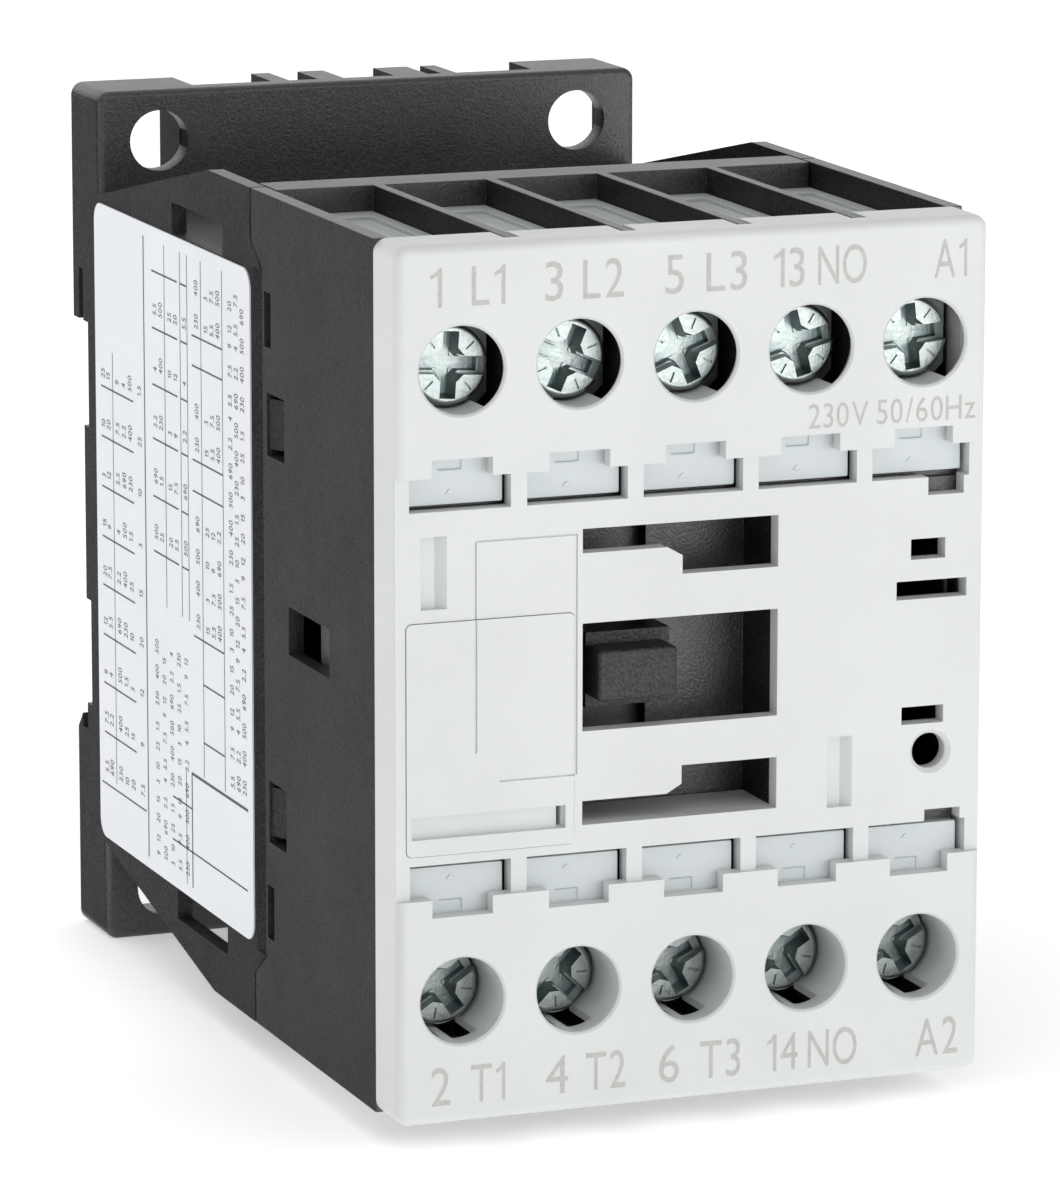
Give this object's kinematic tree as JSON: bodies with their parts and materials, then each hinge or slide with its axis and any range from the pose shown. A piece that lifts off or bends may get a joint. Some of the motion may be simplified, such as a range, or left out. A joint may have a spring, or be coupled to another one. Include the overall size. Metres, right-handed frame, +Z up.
{
  "type": "din rail contactor",
  "caption": "Compact electromagnetic contactor with screw terminals, a sliding contact carrier, and a base that hooks onto a 35 mm rail.",
  "frame": {"origin": "centre of the face that rests on the rail", "axes": "+X to the right seen from the front, +Y back into the rail, +Z up"},
  "size_m": [0.0451, 0.075, 0.068],
  "materials": {
    "cover_grey": "light grey moulded polyamide",
    "tag_white": "bluish white marking tags",
    "housing_black": "black moulded polyamide",
    "plate_black": "black moulded polyamide, coarser texture",
    "carrier_black": "black moulded thermoset",
    "guide_grey": "grey moulded polyamide",
    "bobbin_plastic": "red-brown coil former",
    "label_film": "white printed film",
    "zinc_screw": "bright zinc plated steel",
    "zinc_clamp": "zinc plated steel",
    "spring_steel": "spring steel",
    "rivet_steel": "steel",
    "lamination": "laminated electrical steel",
    "copper": "copper",
    "winding_copper": "enamelled copper wire",
    "contact_silver": "silver alloy",
    "damper_rubber": "soft rubber"
  },
  "bodies": {
    "housing": {"front_cover": "cover_grey", "label_plate": "cover_grey", "marking_tags_upper": "tag_white", "marking_tags_lower": "tag_white", "front_housing": "housing_black", "base_housing": "plate_black", "wire_guides_upper": "guide_grey", "wire_guides_lower": "guide_grey", "rating_label": "label_film", "line_terminals": "copper", "load_terminals": "copper", "coil_terminals": "copper", "fixed_contact_tips": "contact_silver", "return_springs": "spring_steel", "magnet_yoke": "lamination", "yoke_rivets": "rivet_steel", "shading_rings": "copper", "yoke_pad": "damper_rubber", "coil_bobbin": "bobbin_plastic", "coil_winding": "winding_copper", "coil_leads": "winding_copper"},
    "carrier": {"contact_carrier": "carrier_black", "contact_springs": "spring_steel", "armature": "lamination", "armature_rivets": "rivet_steel", "armature_pin": "rivet_steel", "armature_cushion": "damper_rubber"},
    "rail_spring": {"rail_spring": "spring_steel"},
    "bridge_1": {"contact_bridge_1": "copper", "moving_tips_1": "contact_silver"},
    "bridge_2": {"contact_bridge_2": "copper", "moving_tips_2": "contact_silver"},
    "bridge_3": {"contact_bridge_3": "copper", "moving_tips_3": "contact_silver"},
    "bridge_4": {"contact_bridge_4": "copper", "moving_tips_4": "contact_silver"},
    "clamp_upper_1": {"clamp_plate_upper_1": "zinc_clamp"},
    "screw_upper_1": {"terminal_screw_upper_1": "zinc_screw"},
    "clamp_upper_2": {"clamp_plate_upper_2": "zinc_clamp"},
    "screw_upper_2": {"terminal_screw_upper_2": "zinc_screw"},
    "clamp_upper_3": {"clamp_plate_upper_3": "zinc_clamp"},
    "screw_upper_3": {"terminal_screw_upper_3": "zinc_screw"},
    "clamp_upper_4": {"clamp_plate_upper_4": "zinc_clamp"},
    "screw_upper_4": {"terminal_screw_upper_4": "zinc_screw"},
    "clamp_upper_5": {"clamp_plate_upper_5": "zinc_clamp"},
    "screw_upper_5": {"terminal_screw_upper_5": "zinc_screw"},
    "clamp_lower_1": {"clamp_plate_lower_1": "zinc_clamp"},
    "screw_lower_1": {"terminal_screw_lower_1": "zinc_screw"},
    "clamp_lower_2": {"clamp_plate_lower_2": "zinc_clamp"},
    "screw_lower_2": {"terminal_screw_lower_2": "zinc_screw"},
    "clamp_lower_3": {"clamp_plate_lower_3": "zinc_clamp"},
    "screw_lower_3": {"terminal_screw_lower_3": "zinc_screw"},
    "clamp_lower_4": {"clamp_plate_lower_4": "zinc_clamp"},
    "screw_lower_4": {"terminal_screw_lower_4": "zinc_screw"},
    "clamp_lower_5": {"clamp_plate_lower_5": "zinc_clamp"},
    "screw_lower_5": {"terminal_screw_lower_5": "zinc_screw"}
  },
  "joints": [
    {"name": "carrier_slide", "type": "slide", "parent": "housing", "child": "carrier", "axis": [0, 1, 0], "range_m": [0, 0.0042], "stiffness_N_per_m": 500, "springref_m": -0.006, "deforming": ["return_springs", "contact_springs"]},
    {"name": "rail_spring_flex", "type": "hinge", "parent": "housing", "child": "rail_spring", "pos_m": [-0.0094, -0.0003, 0.01795], "axis": [0, -1, 0], "range_deg": [0, 3.6], "stiffness_Nm_per_rad": 2},
    {"name": "bridge_1_slide", "type": "slide", "parent": "carrier", "child": "bridge_1", "axis": [0, 1, 0], "range_m": [-0.00121, 0]},
    {"name": "bridge_2_slide", "type": "slide", "parent": "carrier", "child": "bridge_2", "axis": [0, 1, 0], "range_m": [-0.00121, 0]},
    {"name": "bridge_3_slide", "type": "slide", "parent": "carrier", "child": "bridge_3", "axis": [0, 1, 0], "range_m": [-0.00121, 0]},
    {"name": "bridge_4_slide", "type": "slide", "parent": "carrier", "child": "bridge_4", "axis": [0, 1, 0], "range_m": [-0.00121, 0]},
    {"name": "clamp_upper_1_slide", "type": "slide", "parent": "housing", "child": "clamp_upper_1", "axis": [0, 1, 0], "range_m": [0, 0.0048]},
    {"name": "screw_upper_1_turn", "type": "hinge", "parent": "clamp_upper_1", "child": "screw_upper_1", "pos_m": [-0.0176, -0.0675, 0.0226], "axis": [0, 1, 0], "range_deg": [0, 2882]},
    {"name": "clamp_upper_2_slide", "type": "slide", "parent": "housing", "child": "clamp_upper_2", "axis": [0, 1, 0], "range_m": [0, 0.0048]},
    {"name": "screw_upper_2_turn", "type": "hinge", "parent": "clamp_upper_2", "child": "screw_upper_2", "pos_m": [-0.0088, -0.0675, 0.0226], "axis": [0, 1, 0], "range_deg": [0, 2882]},
    {"name": "clamp_upper_3_slide", "type": "slide", "parent": "housing", "child": "clamp_upper_3", "axis": [0, 1, 0], "range_m": [0, 0.0048]},
    {"name": "screw_upper_3_turn", "type": "hinge", "parent": "clamp_upper_3", "child": "screw_upper_3", "pos_m": [0, -0.0675, 0.0226], "axis": [0, 1, 0], "range_deg": [0, 2882]},
    {"name": "clamp_upper_4_slide", "type": "slide", "parent": "housing", "child": "clamp_upper_4", "axis": [0, 1, 0], "range_m": [0, 0.0048]},
    {"name": "screw_upper_4_turn", "type": "hinge", "parent": "clamp_upper_4", "child": "screw_upper_4", "pos_m": [0.0088, -0.0675, 0.0226], "axis": [0, 1, 0], "range_deg": [0, 2882]},
    {"name": "clamp_upper_5_slide", "type": "slide", "parent": "housing", "child": "clamp_upper_5", "axis": [0, 1, 0], "range_m": [0, 0.0048]},
    {"name": "screw_upper_5_turn", "type": "hinge", "parent": "clamp_upper_5", "child": "screw_upper_5", "pos_m": [0.0176, -0.0675, 0.0226], "axis": [0, 1, 0], "range_deg": [0, 2882]},
    {"name": "clamp_lower_1_slide", "type": "slide", "parent": "housing", "child": "clamp_lower_1", "axis": [0, 1, 0], "range_m": [-0.00045, 0.003]},
    {"name": "screw_lower_1_turn", "type": "hinge", "parent": "clamp_lower_1", "child": "screw_lower_1", "pos_m": [-0.0176, -0.0675, -0.0226], "axis": [0, 1, 0], "range_deg": [-271, 1802]},
    {"name": "clamp_lower_2_slide", "type": "slide", "parent": "housing", "child": "clamp_lower_2", "axis": [0, 1, 0], "range_m": [-0.00045, 0.003]},
    {"name": "screw_lower_2_turn", "type": "hinge", "parent": "clamp_lower_2", "child": "screw_lower_2", "pos_m": [-0.0088, -0.0675, -0.0226], "axis": [0, 1, 0], "range_deg": [-271, 1802]},
    {"name": "clamp_lower_3_slide", "type": "slide", "parent": "housing", "child": "clamp_lower_3", "axis": [0, 1, 0], "range_m": [-0.00045, 0.003]},
    {"name": "screw_lower_3_turn", "type": "hinge", "parent": "clamp_lower_3", "child": "screw_lower_3", "pos_m": [0, -0.0675, -0.0226], "axis": [0, 1, 0], "range_deg": [-271, 1802]},
    {"name": "clamp_lower_4_slide", "type": "slide", "parent": "housing", "child": "clamp_lower_4", "axis": [0, 1, 0], "range_m": [-0.00045, 0.003]},
    {"name": "screw_lower_4_turn", "type": "hinge", "parent": "clamp_lower_4", "child": "screw_lower_4", "pos_m": [0.0088, -0.0675, -0.0226], "axis": [0, 1, 0], "range_deg": [-271, 1802]},
    {"name": "clamp_lower_5_slide", "type": "slide", "parent": "housing", "child": "clamp_lower_5", "axis": [0, 1, 0], "range_m": [-0.00045, 0.003]},
    {"name": "screw_lower_5_turn", "type": "hinge", "parent": "clamp_lower_5", "child": "screw_lower_5", "pos_m": [0.0176, -0.0675, -0.0226], "axis": [0, 1, 0], "range_deg": [-271, 1802]}
  ],
  "couplings": [
    {"joint": "bridge_1_slide", "follows": "carrier_slide", "ratio": -0.28571},
    {"joint": "bridge_2_slide", "follows": "carrier_slide", "ratio": -0.28571},
    {"joint": "bridge_3_slide", "follows": "carrier_slide", "ratio": -0.28571},
    {"joint": "bridge_4_slide", "follows": "carrier_slide", "ratio": -0.28571},
    {"joint": "screw_upper_1_turn", "follows": "clamp_upper_1_slide", "rad_per_m": 10472},
    {"joint": "screw_upper_2_turn", "follows": "clamp_upper_2_slide", "rad_per_m": 10472},
    {"joint": "screw_upper_3_turn", "follows": "clamp_upper_3_slide", "rad_per_m": 10472},
    {"joint": "screw_upper_4_turn", "follows": "clamp_upper_4_slide", "rad_per_m": 10472},
    {"joint": "screw_upper_5_turn", "follows": "clamp_upper_5_slide", "rad_per_m": 10472},
    {"joint": "screw_lower_1_turn", "follows": "clamp_lower_1_slide", "rad_per_m": 10472},
    {"joint": "screw_lower_2_turn", "follows": "clamp_lower_2_slide", "rad_per_m": 10472},
    {"joint": "screw_lower_3_turn", "follows": "clamp_lower_3_slide", "rad_per_m": 10472},
    {"joint": "screw_lower_4_turn", "follows": "clamp_lower_4_slide", "rad_per_m": 10472},
    {"joint": "screw_lower_5_turn", "follows": "clamp_lower_5_slide", "rad_per_m": 10472}
  ]
}
